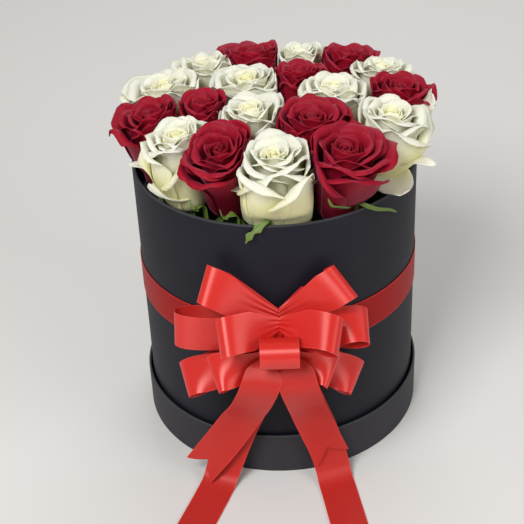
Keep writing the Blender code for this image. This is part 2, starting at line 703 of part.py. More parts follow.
def build():
    clear_scene()
    draw = random.Random(19)
    build_box()
    foam_radius, foam_bottom = build_liner()
    roses = rose_plan()
    build_foam(roses, foam_radius, foam_bottom)
    for rose in roses:
        build_bloom(rose, roses, draw)
        build_stem(rose, roses, draw)
    build_band()
    build_bow_centre()
    build_loops()
    build_tails()


build()
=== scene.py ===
"""A round card hat box of roses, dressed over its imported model.

Metres, +Z up. The origin is the middle of the box's underside, and the bow faces -Y.
"""
import math
import random

import bmesh
import bpy
import numpy as np
from mathutils import Matrix, Vector


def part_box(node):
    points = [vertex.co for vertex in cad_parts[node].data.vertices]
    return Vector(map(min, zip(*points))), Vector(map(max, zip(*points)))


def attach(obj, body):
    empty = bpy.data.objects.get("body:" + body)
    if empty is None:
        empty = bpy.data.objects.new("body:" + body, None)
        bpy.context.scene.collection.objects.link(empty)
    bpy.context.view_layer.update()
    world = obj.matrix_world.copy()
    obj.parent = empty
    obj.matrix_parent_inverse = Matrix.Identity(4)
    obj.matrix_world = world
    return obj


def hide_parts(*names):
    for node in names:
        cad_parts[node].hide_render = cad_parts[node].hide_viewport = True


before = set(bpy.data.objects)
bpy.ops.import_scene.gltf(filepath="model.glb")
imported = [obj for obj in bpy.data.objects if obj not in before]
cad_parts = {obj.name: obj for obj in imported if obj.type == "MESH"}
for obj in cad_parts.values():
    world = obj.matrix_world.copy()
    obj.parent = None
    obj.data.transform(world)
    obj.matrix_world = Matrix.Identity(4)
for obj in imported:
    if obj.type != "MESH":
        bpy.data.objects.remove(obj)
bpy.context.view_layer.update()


# Lid: the box stands in its own upturned lid. Both are rolled card, wrapped in a charcoal paper whose
# fibres show close to, with the paper paler along the top edges, partly worn and partly a painted highlight.

LID_WALL = 0.0018
CARD_SIDES = 160
CARD_EDGE_ROUND = 0.0007
CARD_EDGE_STEPS = 4
CARD_SHARP_ANGLE = math.radians(50)
LID_COLOURS = ((0.0240, 0.0220, 0.0270), (0.0330, 0.0305, 0.0365))
# paler top edges of the card: partly wear, partly a painted highlight where the rounded edge catches the
# light
EDGE_WEAR_AND_HIGHLIGHT_COLOUR = (0.060, 0.062, 0.070)
EDGE_WEAR_AND_HIGHLIGHT_SHARE = 0.8
EDGE_WEAR_AND_HIGHLIGHT_HEIGHT = 0.0011
NO_EDGE = 1.0                   # a height above the whole box, for card whose edge is out of sight
CARD_MOTTLE = (38.0, 6.0)       # each pattern is given by its scale and its detail
CARD_FIBRES = (900.0, 4.0)
CARD_RELIEF = (0.20, 0.0002)    # each relief is given by its strength and its depth
CARD_ROUGHNESS = (0.50, 0.66)
CARD_GLOSS = 0.28
TINY = 1e-6                     # points closer than this are one, and no reach is counted as shorter


def new_finish(name):
    """A new material and its shader."""
    made = bpy.data.materials.new(name)
    made.use_nodes = True
    return made, made.node_tree.nodes["Principled BSDF"]


def feed(made, node, inputs):
    """Sets each of the node's inputs to a number or a colour, or links it to another node's output."""
    for name, value in inputs.items():
        socket = node.inputs[name]
        if isinstance(value, bpy.types.NodeSocket):
            made.node_tree.links.new(value, socket)
        elif socket.type == 'RGBA':
            socket.default_value = (*value, 1.0)
        else:
            socket.default_value = value


def add_node(made, kind, output, inputs, **settings):
    """Adds a node with its settings and inputs to the material, and gives the named output."""
    node = made.node_tree.nodes.new("ShaderNode" + kind)
    for name, value in settings.items():
        setattr(node, name, value)
    feed(made, node, inputs)
    return node.outputs[output]


def noise(made, place, pattern):
    return add_node(made, "TexNoise", "Fac", {"Vector": place, "Scale": pattern[0], "Detail": pattern[1]})


def ranged(made, value, span, source=(0.0, 1.0)):
    """The value, brought from its source's range of numbers to the span."""
    return add_node(made, "MapRange", "Result", {
        "Value": value, "From Min": source[0], "From Max": source[1], "To Min": span[0], "To Max": span[1]})


def mixed(made, share, first, second):
    """A blend from the first colour to the second, by a share from 0 to 1."""
    return add_node(made, "Mix", "Result", {"Factor": share, "A": first, "B": second}, data_type='RGBA')


def raised(made, height, relief):
    return add_node(made, "Bump", "Normal", {"Height": height, "Strength": relief[0], "Distance": relief[1]})


def card_finish(name, colours, top):
    """Charcoal paper on card, mottled between two colours and paler at the edge at the height top, as wear
    and painted highlight.
    """
    made, shader = new_finish(name)
    place = add_node(made, "TexCoord", "Object", {})
    paper = mixed(made, noise(made, place, CARD_MOTTLE), *colours)
    height = add_node(made, "SeparateXYZ", "Z", {"Vector": place})
    # paler towards the top edge: part wear, part painted highlight
    wear_and_highlight = ranged(made, height, (0.0, EDGE_WEAR_AND_HIGHLIGHT_SHARE), (top - EDGE_WEAR_AND_HIGHLIGHT_HEIGHT, top))
    fibres = noise(made, place, CARD_FIBRES)
    feed(made, shader, {
        "Base Color": mixed(made, wear_and_highlight, paper, EDGE_WEAR_AND_HIGHLIGHT_COLOUR),
        "Roughness": ranged(made, fibres, CARD_ROUGHNESS),
        "Specular IOR Level": CARD_GLOSS,
        "Normal": raised(made, fibres, CARD_RELIEF),
    })
    return made


def turned(outline, sides, closed):
    """A bmesh of an outline of radii and heights, turned once about the Z axis, with its faces outward."""
    bm = bmesh.new()
    start = [bm.verts.new((radius, 0.0, height)) for radius, height in outline]
    ends = start[1:] + start[:1] if closed else start[1:]
    edges = [bm.edges.new(pair) for pair in zip(start, ends)]
    bmesh.ops.spin(
        bm, geom=start + edges, cent=(0, 0, 0), axis=(0, 0, 1),
        angle=math.tau, steps=sides, use_merge=True)
    bmesh.ops.remove_doubles(bm, verts=bm.verts[:], dist=TINY)
    bmesh.ops.recalc_face_normals(bm, faces=bm.faces[:])
    return bm


def add_object(name, data):
    made = bpy.data.objects.new(name, data)
    bpy.context.scene.collection.objects.link(made)
    return made


def make_piece(name, bm, finish, sharp_angle=math.pi):
    """Makes a bmesh an object with its finish, smooth but where faces meet at more than the sharp angle."""
    mesh = bpy.data.meshes.new(name)
    bm.to_mesh(mesh)
    bm.free()
    mesh.shade_smooth()
    if sharp_angle < math.pi:
        mesh.set_sharp_from_angle(angle=sharp_angle)
    mesh.materials.append(finish)
    return add_object(name, mesh)


def card_wall(name, inner, outer, bottom, top, finish):
    """A rolled card wall, its outline turned about the box's axis with both top edges rounded."""
    outline = [(inner, bottom), (outer, bottom)]
    for quarter, centre in ((0.0, outer - CARD_EDGE_ROUND), (1.0, inner + CARD_EDGE_ROUND)):
        for step in range(CARD_EDGE_STEPS + 1):
            angle = math.pi / 2 * (quarter + step / CARD_EDGE_STEPS)
            outline.append((
                centre + CARD_EDGE_ROUND * math.cos(angle),
                top - CARD_EDGE_ROUND + CARD_EDGE_ROUND * math.sin(angle)))
    return make_piece(name, turned(outline, CARD_SIDES, True), finish, CARD_SHARP_ANGLE)


def dress(node, finish):
    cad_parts[node].material_slots[0].material = finish


lid_low, lid_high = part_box("lid_rim")
lid_radius = lid_high[0]
lid = card_wall(
    "lid_rim_card", lid_radius - LID_WALL, lid_radius, lid_low[2], lid_high[2],
    card_finish("lid card", LID_COLOURS, lid_high[2]))
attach(lid, "root")
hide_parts("lid_rim")
dress("lid_panel", card_finish("lid panel card", LID_COLOURS, NO_EDGE))


# Box: the tube is a taller roll of the same card, open at the top, its paper coloured darker than the lid's
# as painted shade. A card disc closes its foot, and it stands inside the lid.

TUBE_WALL = 0.0025
# painted shade: the lid's paper, coloured darker
TUBE_PAINTED_SHADE_COLOURS = ((0.0046, 0.0044, 0.0100), (0.0080, 0.0076, 0.0155))

tube_low, tube_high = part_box("box_tube")
tube_radius = tube_high[0]
tube_top = tube_high[2]
tube = card_wall(
    "box_tube_card", tube_radius - TUBE_WALL, tube_radius, tube_low[2], tube_top,
    card_finish("tube card", TUBE_PAINTED_SHADE_COLOURS, tube_top))
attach(tube, "root")
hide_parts("box_tube")
dress("box_floor", card_finish("floor card", TUBE_PAINTED_SHADE_COLOURS, NO_EDGE))


# Liner and foam: a thin clear plastic tub keeps the wet foam off the card. The foam is a fine green
# crumb, darker where it is soaked, and both lie low under the blooms.

LINER_COLOUR = (0.42, 0.45, 0.45)
LINER_HAZE = (60.0, 2.0)
LINER_ROUGHNESS = (0.20, 0.45)
FOAM_COLOURS = ((0.006, 0.020, 0.009), (0.020, 0.060, 0.024))
FOAM_CRUMB = (700.0, 5.0)
FOAM_RELIEF = (1.0, 0.0008)
FOAM_ROUGHNESS = 0.95


def liner_finish():
    made, shader = new_finish("liner film")
    haze = noise(made, add_node(made, "TexCoord", "Object", {}), LINER_HAZE)
    feed(made, shader, {"Base Color": LINER_COLOUR, "Roughness": ranged(made, haze, LINER_ROUGHNESS)})
    return made


def foam_finish():
    made, shader = new_finish("wet foam")
    crumb = noise(made, add_node(made, "TexCoord", "Object", {}), FOAM_CRUMB)
    feed(made, shader, {
        "Base Color": mixed(made, crumb, *FOAM_COLOURS),
        "Roughness": FOAM_ROUGHNESS,
        "Normal": raised(made, crumb, FOAM_RELIEF),
    })
    return made


dress("liner", liner_finish())
dress("foam", foam_finish())


# Roses, their places: thirteen lean outward in a ring along the wall, and six stand inside it. Each
# one fills its own share of the box, and where it meets a neighbour the two are pressed together.

# For each rose: colour, bearing from +X in degrees, reach from the box's axis, outward lean in degrees,
# size of its body, size of its lips and heading of one of its outer petals in degrees
OUTER_ROSES = [
    ("red", 8, 0.099, 9, 0.95, 0.95, 20),
    ("white", 30, 0.101, 9, 1.05, 1.00, 60),
    ("red", 51, 0.098, 9, 1.00, 1.00, 80),
    ("white", 75, 0.089, 9, 1.05, 0.95, 40),
    ("red", 99, 0.090, 9, 1.08, 1.15, 130),
    ("white", 127, 0.088, 9, 1.05, 1.00, 100),
    ("white", 159, 0.090, 9, 1.10, 1.20, 200),
    ("red", 190, 0.093, 9, 1.00, 1.05, 215),
    ("white", 217, 0.087, 9, 1.20, 1.00, 305),
    ("red", 242, 0.084, 16, 0.95, 1.30, 262),
    ("white", 270, 0.087, 5, 1.45, 1.32, 330),
    ("red", 302, 0.095, 10, 1.12, 1.30, 285),
    ("white", 341, 0.093, 9, 1.20, 1.00, 265),
]
INNER_ROSES = [
    ("white", 9, 0.048, 4, 1.05, 1.05, 300),
    ("red", 58, 0.041, 4, 0.95, 0.95, 250),
    ("white", 125, 0.034, 4, 1.10, 1.20, 280),
    ("red", 195, 0.054, 4, 0.88, 0.90, 230),
    ("white", 237, 0.031, 4, 1.10, 1.15, 290),
    ("red", 305, 0.050, 4, 1.00, 1.25, 240),
]
GIRTH_LOW = 0.240               # a bloom has its body's size up to this height
GIRTH_HIGH = 0.268              # and its lips' size from here up
BLOOM_BASE = 0.2140
OUTER_HEART = 0.272
INNER_HEART = 0.277
RIM_SLOPE = 1.3                 # how fast a bloom may widen over the rim, per metre of height
CELL_SHARPNESS = 12             # how closely a pressed bloom follows the corners of its place
CELL_MARGIN = 0.0006            # from a petal to the middle between two blooms
WALL_MARGIN = 0.0055            # room for a sepal between a bloom and the card's edge
FULLNESS = 6                    # how far petals keep their own reach before they press together
FACING_LEAST = 1e-3             # a neighbour beside or behind a petal gives it this little of a turn


def arrow_at(turn):
    """A level arrow of length one, turned that far from +X."""
    return np.array((math.cos(turn), math.sin(turn)))


roses = []
for ring, heart in ((OUTER_ROSES, OUTER_HEART), (INNER_ROSES, INNER_HEART)):
    for colour, bearing, reach, lean, body_size, lip_size, heading in ring:
        roses.append({
            "number": len(roses) + 1,
            "colour": colour,
            "outward": arrow_at(math.radians(bearing)),
            "reach": reach,
            "heart": heart,
            "base": BLOOM_BASE + heart - OUTER_HEART,
            "lean": math.radians(lean),
            "sizes": (body_size, lip_size),
            "heading": math.radians(heading),
        })


def smooth_step(value):
    value = np.clip(value, 0.0, 1.0)
    return value * value * (3.0 - 2.0 * value)


def between(ends, share):
    """The value at a share of the way from the first end to the second."""
    return ends[0] + (ends[1] - ends[0]) * share


def size_at(rose, height):
    """A bloom's size at each height: its body's low down and its lips' at the top."""
    return between(rose["sizes"], smooth_step((height - GIRTH_LOW) / (GIRTH_HIGH - GIRTH_LOW)))


def axis_at(rose, height):
    """Where the rose's own axis, which leans outward, passes each of the heights."""
    reach = rose["reach"] - (rose["heart"] - np.asarray(height)) * math.tan(rose["lean"])
    return reach[..., None] * rose["outward"]


def way_to_ring(axis, course, radius):
    """How far it is from a rose's axis, along a course, to a ring of that radius round the box's axis."""
    along = (axis * course).sum(axis=-1)
    return -along + np.sqrt(along ** 2 + radius ** 2 - (axis ** 2).sum(axis=-1))


def room_towards(rose, height, heading):
    """How far the rose may spread along each heading before it meets a neighbour or the card."""
    axis = axis_at(rose, height)
    size = size_at(rose, height)
    pressed = np.zeros(len(height))
    for other in roses:
        if other is rose:
            continue
        apart = axis_at(other, height) - axis
        distance = np.linalg.norm(apart, axis=1)
        facing = np.maximum((heading * apart).sum(axis=1) / distance, FACING_LEAST)
        own_share = size / (size + size_at(other, height))
        pressed += ((distance * own_share - CELL_MARGIN) / facing) ** -CELL_SHARPNESS
    wall = tube_radius - TUBE_WALL - WALL_MARGIN + RIM_SLOPE * np.maximum(height - tube_top, 0.0)
    pressed += way_to_ring(axis, heading, wall) ** -CELL_SHARPNESS
    return pressed ** (-1.0 / CELL_SHARPNESS)


def plant(rose, points):
    """Moves points of a free-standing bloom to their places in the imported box."""
    flat = points[:, :2]
    height = rose["base"] + points[:, 2] - (flat @ rose["outward"]) * math.tan(rose["lean"])
    reach = np.maximum(np.linalg.norm(flat, axis=1), TINY)
    crowding = reach / room_towards(rose, height, flat / reach[:, None])
    place = axis_at(rose, height) + flat * ((1.0 + crowding ** FULLNESS) ** (-1.0 / FULLNESS))[:, None]
    return np.column_stack((place, height))


# Blooms: some thirty petals each, from the tight spiral heart to the broad outer ones. Every petal
# tucks one side under its neighbour and lays the other over the next, and its lip rolls out to a point.

PETALS = 29
PETAL_ACROSS = 14
PETAL_ALONG = 16
PETAL_THICKNESS = 0.00035
PROFILE_STEPS = 60
# How each rose has opened: how tight its heart still is, from 1 for wide open to 2.5 for half a bud, and
# how many petals stand in a whorl
HABITS = [
    (1.15, 5), (2.0, 3), (1.3, 5), (2.3, 3), (1.15, 5), (1.7, 5), (1.4, 5), (1.15, 5), (1.4, 3), (1.3, 5),
    (2.1, 3), (1.1, 5), (1.3, 3), (1.7, 3), (1.4, 5), (1.4, 5), (1.3, 5), (1.9, 3), (1.4, 5),
]
# By how many stand in a whorl: the turn from petal to petal, and the further turn from whorl to whorl
WHORL_STEPS = {3: (math.radians(120), math.radians(60)), 5: (math.radians(144), math.radians(30))}
WHORL_HALF_ANGLES = {3: 64, 5: 48}  # half the angle that an outermost petal spans, in degrees
TURN_STRAY = 0.08               # how far a petal may stand from its place in the whorl, in radians

# A petal's middle line, with each measure in the heart and on the outside of the bloom
BODY_RADIUS = (0.0026, 0.0217)
ROOT_RADIUS = (0.0012, 0.0040)
FOOT_HEIGHT = (0.011, 0.001)
WALL_RISE = (93, 86)            # how steeply its wall stands, in degrees
LIP_RISE = (96, 25)             # and its lip, where the lips level out faster towards the outside
LIP_RISE_POWER = 1.2
LIP_LENGTH = (0.0050, 0.0165)
ROOT_RISE = 85                  # how steeply it starts in the heart, down to level on the outside
ROOT_RISE_POWER = 1.3
HEART_TOP = 0.058
CROWN_TOP = 0.064               # the petals stand highest a little way inside the outermost ones
CROWN_LAYER = 0.65
OUTER_TOP = 0.060
WALL_LEAST = 0.002
LEVEL_LEAST = 0.05              # the least level run per length that its root is counted with

# Its spread, again in the heart and on the outside
HEART_HALF_ANGLE = 125
HALF_ANGLE_POWER = 0.6
FLATNESS = (1.0, 1.15)          # the radius it is cupped to, against its distance from the axis
SHOULDER_DROP = (0.084, 0.24)   # how much shorter it is at its sides than at its tip
SHOULDER_POWER = 2.5
ROOT_WIDTH = 0.45               # its width at the root, as a share of its full width
FULL_WIDTH_AT = 0.33            # and how far along it has its full width
TUCK = (0.0011, 0.0021)         # how far one side goes under its neighbour and the other stands over it
TUCKED_AT = 0.4
FOLD_RADIUS = (0.0030, 0.0065)  # the roll of its lip
FOLD_START = (-0.0020, 0.0045)  # how far below its tip the roll begins
FOLD_FROM = 0.45                # the share of its length that stays unrolled
FOLD_LIMIT = 2.4                # most that a lip is rolled, in radians
RIPPLE = (0.00024, 0.00084)
RIPPLE_WAVES = 2.6

# How much one petal differs from the next
LIP_STRAY = 14                  # in degrees
LENGTH_STRAY = (0.96, 1.03)
FOLD_ANGLES = (26, 58)          # how far the two sides of a lip fold to a point, in degrees
TIP_STRAY = 0.22

# Loose outer petals that have fallen open: rose, heading in degrees, half width, tip as its reach from the
# rose's axis and its height over the bloom's base, and how steeply the petal rises to its tip in degrees
GUARDS = [
    (9, 224, 0.024, (0.038, 0.030), 66),
    (9, 178, 0.010, (0.045, 0.031), 5),
    (11, 190, 0.013, (0.037, 0.033), 12),
    (11, 8, 0.013, (0.042, 0.037), 12),
    (13, -82, 0.020, (0.061, 0.021), 8),
    (13, -46, 0.012, (0.052, 0.031), 0),
    (13, 34, 0.011, (0.049, 0.060), 72),
]
GUARD_ACROSS = 16
GUARD_ALONG = 20
GUARD_TIP_LENGTH = 0.013
GUARD_ROOT = (0.006, 0.001)     # reach and height of its root
GUARD_BEND = (0.018, 0.003)     # and of its low bend
GUARD_BEND_LIMIT = 0.8          # the share of the way to the rim that the bend keeps within
GUARD_TURNS_UP = (0.95, 0.009)  # where it turns up, as a share of that way, and its height there
GUARD_CLEARANCE = 0.0020        # between the petal and the card's edge
GUARD_DROP = 0.14               # how much shorter it is at its sides than at its tip
GUARD_DROP_POWER = 2.2
GUARD_ROUND_FROM = 0.70         # where its sides start to round off to the tip
GUARD_ROUND = 0.31
GUARD_TIP_LEAST = 0.02
GUARD_WIDENED = 0.25            # how much of its widening the root already has
GUARD_WIDENING = 0.5            # the share of its length that the whole widening would take
GUARD_REACH_LEAST = 0.02
GUARD_WAVE = 0.0009
GUARD_WAVES = 4.5
GUARD_WAVES_FROM = 0.5
# share of the depth's painted shade that a loose petal has at its root
GUARD_DEPTH_SHADE = 0.6

# Tints: each petal is paler or brighter at its lip than in its depth, and the heart has its own
# The red's darker depth is painted shade; the white's yellower depth is partly its own cream and partly a
# painted warm glow.
DEPTH_SHADE_TOP = 0.060               # the lip's tint ends at this height over the bloom's base
DEPTH_SHADE_REACH = 0.034             # and the depth's own is full so much lower
HEART_TINT = 0.75
HEART_EDGE = 0.55               # the heart's tint ends at this layer, and is full so much further in
HEART_FADE = 0.5
VEIN_STRETCH = (26.0, 1.6)
VEIN_PATTERN = (1.0, 4.0)
VEIN_BAND = (0.52, 0.75)
VEIN_SHARE = 0.35
VEIN_RELIEF = (0.25, 0.0003)
PETAL_ROUGHNESS = 0.60
PETAL_GLOSS = 0.20
SHEEN_ROUGHNESS = 0.4
GLOW_DEPTH = 0.003


def petal_line(layer, tightness, lip_turn):
    """Distance along, radius, height and rise of a petal's middle line. Layer 0 is the heart, 1 outermost."""
    body = between(BODY_RADIUS, layer ** tightness)
    root = between(ROOT_RADIUS, layer)
    foot = between(FOOT_HEIGHT, layer)
    root_rise = math.radians(ROOT_RISE) * (1.0 - layer) ** ROOT_RISE_POWER
    wall_rise = math.radians(between(WALL_RISE, layer))
    lip_rise = math.radians(between(LIP_RISE, layer ** LIP_RISE_POWER) + lip_turn)
    top = between((HEART_TOP, CROWN_TOP), smooth_step(layer / CROWN_LAYER))
    top -= (CROWN_TOP - OUTER_TOP) * max(layer - CROWN_LAYER, 0.0) / (1.0 - CROWN_LAYER)
    lip = between(LIP_LENGTH, layer)
    turn_up = smooth_step(np.linspace(0.0, 1.0, PROFILE_STEPS))
    bottom_rise = between((root_rise, wall_rise), turn_up)
    bottom = (body - root) / max(np.cos(bottom_rise).mean(), LEVEL_LEAST)
    lip_rises = between((wall_rise, lip_rise), turn_up)
    wall = top - foot - bottom * np.sin(bottom_rise).mean() - lip * np.sin(lip_rises).mean()
    wall = max(wall, WALL_LEAST) / math.sin(wall_rise)
    rises = np.concatenate((bottom_rise, np.full(PROFILE_STEPS, wall_rise), lip_rises))
    steps = np.concatenate([np.full(PROFILE_STEPS, part / PROFILE_STEPS) for part in (bottom, wall, lip)])
    along = np.concatenate(([0.0], np.cumsum(steps)))
    radius = root + np.concatenate(([0.0], np.cumsum(steps * np.cos(rises))))
    height = foot + np.concatenate(([0.0], np.cumsum(steps * np.sin(rises))))
    return along, radius, height, np.append(rises, rises[-1])


def petal_points(u, v, layer, tightness, widest, turn, draw):
    """Points of one petal of a free-standing bloom, for u from -1 to 1 across and v from 0 to 1 along."""
    line = petal_line(layer, tightness, draw.uniform(-LIP_STRAY, LIP_STRAY))
    length = line[0][-1] * draw.uniform(*LENGTH_STRAY)
    half_angle = math.radians(between((HEART_HALF_ANGLE, widest), layer ** HALF_ANGLE_POWER))
    fold_radius = between(FOLD_RADIUS, layer)
    fold_start = between(FOLD_START, layer)
    tip_angle = math.radians(draw.uniform(*FOLD_ANGLES))
    tip_aside = draw.uniform(-TIP_STRAY, TIP_STRAY) * layer
    phase = draw.uniform(0.0, math.tau)
    from_tip = np.abs(u - tip_aside * (1.0 - u * u))
    along = v * length * (1.0 - between(SHOULDER_DROP, layer) * from_tip ** SHOULDER_POWER)
    radius = np.interp(along, line[0], line[1])
    bow = radius * between(FLATNESS, layer)
    widening = between((ROOT_WIDTH, 1.0), smooth_step(v / FULL_WIDTH_AT))
    across = u * half_angle * bow * widening
    beside_tip = np.abs(across - tip_aside * half_angle * bow * widening)
    past_fold = (along - length + fold_start) * math.cos(tip_angle) + beside_tip * math.sin(tip_angle)
    past_fold = np.where(v > FOLD_FROM, np.maximum(past_fold, 0.0), 0.0)
    bend = np.minimum(past_fold / fold_radius, FOLD_LIMIT)
    drawn_back = past_fold - fold_radius * np.sin(bend)
    lift = fold_radius * (1.0 - np.cos(bend))
    along = along - drawn_back * math.cos(tip_angle)
    across = across - np.sign(across) * drawn_back * math.sin(tip_angle)
    radius = np.interp(along, line[0], line[1])
    height = np.interp(along, line[0], line[2])
    rise = np.interp(along, line[0], line[3])
    ripple = between(RIPPLE, layer) * np.sin(RIPPLE_WAVES * math.pi * u + phase)
    ripple = ripple * smooth_step((v - FOLD_FROM) / (1.0 - FOLD_FROM))
    tuck = between(TUCK, layer) * u * smooth_step(v / TUCKED_AT)
    angle = across / bow
    out = bow + (lift + ripple + tuck) * np.sin(rise)
    x = (radius - bow) + out * np.cos(angle)
    y = out * np.sin(angle)
    z = height - (lift + ripple) * np.cos(rise)
    return np.column_stack((
        x * math.cos(turn) - y * math.sin(turn), x * math.sin(turn) + y * math.cos(turn), z))


def along_route(route, share):
    """Points of the smooth curve through the route's points, at each share of the way along it."""
    route = np.array([route[0]] + list(route) + [route[-1]])
    place = np.clip(share, 0.0, 1.0) * (len(route) - 3)
    index = np.minimum(place.astype(int), len(route) - 4)
    step = (place - index)[:, None]
    before, start, end, after = (route[index + offset] for offset in range(4))
    cubic = (after - before) * 0.5 + (start - end) * 1.5
    square = before - start * 2.5 + end * 2.0 - after * 0.5
    return start + ((end - before) * 0.5 + (square + cubic * step) * step) * step


def rounded(past, reach, least):
    """Falls from 1 as a quarter circle does, while past goes from 0 to reach, to the root of least."""
    return np.sqrt(np.clip(1.0 - (np.maximum(past, 0.0) / reach) ** 2, least, 1.0))


def guard_points(rose, heading, half, tip, slope, u, v, phase):
    """Points of a loose outer petal, which clears the box's rim and flares to its tip (reach, height)."""
    course = arrow_at(heading)
    axis = axis_at(rose, rose["base"])
    inside = tube_radius - TUBE_WALL - GUARD_CLEARANCE
    to_rim = min(way_to_ring(axis, course, inside), inside - rose["reach"])
    before_tip = (tip[0] - GUARD_TIP_LENGTH * math.cos(slope), tip[1] - GUARD_TIP_LENGTH * math.sin(slope))
    route = [
        GUARD_ROOT,
        (min(GUARD_BEND[0], to_rim * GUARD_BEND_LIMIT), GUARD_BEND[1]),
        (to_rim * GUARD_TURNS_UP[0], GUARD_TURNS_UP[1]),
        (to_rim, tube_top - rose["base"] + GUARD_CLEARANCE),
        before_tip,
        tip,
    ]
    line = along_route(route, v * (1.0 - GUARD_DROP * np.abs(u) ** GUARD_DROP_POWER))
    width = smooth_step(v / GUARD_WIDENING + GUARD_WIDENED)
    width = width * rounded(v - GUARD_ROUND_FROM, GUARD_ROUND, GUARD_TIP_LEAST)
    turn = heading + u * half * width / np.maximum(line[:, 0], GUARD_REACH_LEAST)
    wave = GUARD_WAVE * np.sin(GUARD_WAVES * u + phase)
    wave = wave * smooth_step((v - GUARD_WAVES_FROM) / (1.0 - GUARD_WAVES_FROM))
    out = line[:, 0] + wave
    height = rose["base"] + line[:, 1] + wave
    return np.column_stack((axis[0] + out * np.cos(turn), axis[1] + out * np.sin(turn), height))


def own_map(made, name):
    return add_node(made, "UVMap", "UV", {}, uv_map=name)


def stretched(made, place, stretch):
    """Places on a surface's own map, stretched across and along."""
    return add_node(made, "Mapping", "Vector", {"Vector": place, "Scale": (*stretch, 1.0)})


def petal_finish(name, lip_colour, depth_tint_and_shade, heart_colour, vein_colour, sheen, sheen_tint, glow, reach):
    """Velvety petal: its lip, its depth and the heart have their own tints, the depth's partly painted shade,
    with fine veins along it.
    """
    made, shader = new_finish(name)
    # the depth tint is painted shade, and on the white partly its own cream
    depth = add_node(made, "Attribute", "Fac", {}, attribute_name="depth")
    heart = add_node(made, "Attribute", "Fac", {}, attribute_name="heart")
    petal = mixed(made, heart, mixed(made, depth, lip_colour, depth_tint_and_shade), heart_colour)
    veins = noise(made, stretched(made, own_map(made, "petal"), VEIN_STRETCH), VEIN_PATTERN)
    faint = ranged(made, veins, (0.0, VEIN_SHARE), VEIN_BAND)
    feed(made, shader, {
        "Base Color": mixed(made, faint, petal, vein_colour),
        "Roughness": PETAL_ROUGHNESS,
        "Specular IOR Level": PETAL_GLOSS,
        "Sheen Weight": sheen,
        "Sheen Roughness": SHEEN_ROUGHNESS,
        "Sheen Tint": sheen_tint,
        "Subsurface Weight": glow,
        "Subsurface Radius": reach,
        "Subsurface Scale": GLOW_DEPTH,
        "Normal": raised(made, veins, VEIN_RELIEF),
    })
    return made


def flat_grid(bm, across, along, mapped=False):
    """Adds a flat grid: its points, and their places from -1 to 1 across it and from 0 to 1 along it."""
    grid = bmesh.ops.create_grid(bm, x_segments=across, y_segments=along, size=1.0, calc_uvs=mapped)
    flat = np.array([vert.co for vert in grid["verts"]])
    return grid["verts"], flat[:, 0], (flat[:, 1] + 1.0) / 2.0


def thicken(piece, thickness, offset):
    solid = piece.modifiers.new("thickness", 'SOLIDIFY')
    solid.thickness = thickness
    solid.offset = offset


petal_finishes = {
    # Each depth colour is painted shade: darker on the red, yellower on the white, partly its own cream and
    # partly a painted warm glow.
    "white": petal_finish(
        "white petals", lip_colour=(0.84, 0.83, 0.69), depth_tint_and_shade=(0.83, 0.79, 0.40),
        heart_colour=(0.86, 0.80, 0.34), vein_colour=(0.74, 0.76, 0.42),
        sheen=0.08, sheen_tint=(1.0, 1.0, 1.0), glow=0.30, reach=(1.0, 0.85, 0.45)),
    "red": petal_finish(
        "red petals", lip_colour=(0.330, 0.0035, 0.0200), depth_tint_and_shade=(0.160, 0.0016, 0.0100),
        heart_colour=(0.220, 0.0020, 0.0130), vein_colour=(0.090, 0.0008, 0.0060),
        sheen=0.22, sheen_tint=(0.75, 0.20, 0.40), glow=0.10, reach=(1.0, 0.12, 0.12)),
}

draw = random.Random(19)
guard_draw = random.Random(3)
for rose, (tightness, whorl) in zip(roses, HABITS):
    petal_step, whorl_turn = WHORL_STEPS[whorl]
    bm = bmesh.new()
    bm.loops.layers.uv.new("petal")
    depth_shade_layer = bm.verts.layers.float.new("depth")
    heart_layer = bm.verts.layers.float.new("heart")
    for index in range(PETALS):
        layer = 1.0 - index / (PETALS - 1)
        turn = rose["heading"] + petal_step * index + whorl_turn * (index // whorl)
        turn += draw.uniform(-TURN_STRAY, TURN_STRAY)
        verts, across, along = flat_grid(bm, PETAL_ACROSS, PETAL_ALONG, mapped=True)
        free = petal_points(across, along, layer, tightness, WHORL_HALF_ANGLES[whorl], turn, draw)
        free[:, :2] *= size_at(rose, rose["base"] + free[:, 2])[:, None]
        # painted shade low in the bloom, from the lips down
        depth = smooth_step((DEPTH_SHADE_TOP - free[:, 2]) / DEPTH_SHADE_REACH)
        heart = HEART_TINT * smooth_step((HEART_EDGE - layer) / HEART_FADE)
        for vert, place, low in zip(verts, plant(rose, free), depth):
            vert.co = place
            vert[depth_shade_layer] = low
            vert[heart_layer] = heart
    for number, heading, half, tip, slope in GUARDS:
        if number == rose["number"]:
            verts, across, along = flat_grid(bm, GUARD_ACROSS, GUARD_ALONG, mapped=True)
            phase = guard_draw.uniform(0.0, math.tau)
            loose = guard_points(
                rose, math.radians(heading), half, tip, math.radians(slope), across, along, phase)
            for vert, place, up in zip(verts, loose, along):
                vert.co = place
                # a loose petal takes more painted shade towards its root
                vert[depth_shade_layer] = GUARD_DEPTH_SHADE * (1.0 - up)
    name = "rose_%02d_%s_petals" % (rose["number"], rose["colour"])
    bloom = make_piece(name, bm, petal_finishes[rose["colour"]])
    thicken(bloom, PETAL_THICKNESS, 0.0)
    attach(bloom, "root")
    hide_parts("rose_%02d_%s_bloom" % (rose["number"], rose["colour"]))


# Stems: each rose's green stem stands in the foam and swells to a hip under the bloom. Five sepals grow
# from the hip and droop, some with ragged side lobes, and a few lie over the box's rim or stand up at it.

STEM_FOOT = 0.145               # height of the stems' cut ends, deep in the foam
STEM_GAP = 0.0002               # a hair above that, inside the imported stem
STEM_SIDES = 14
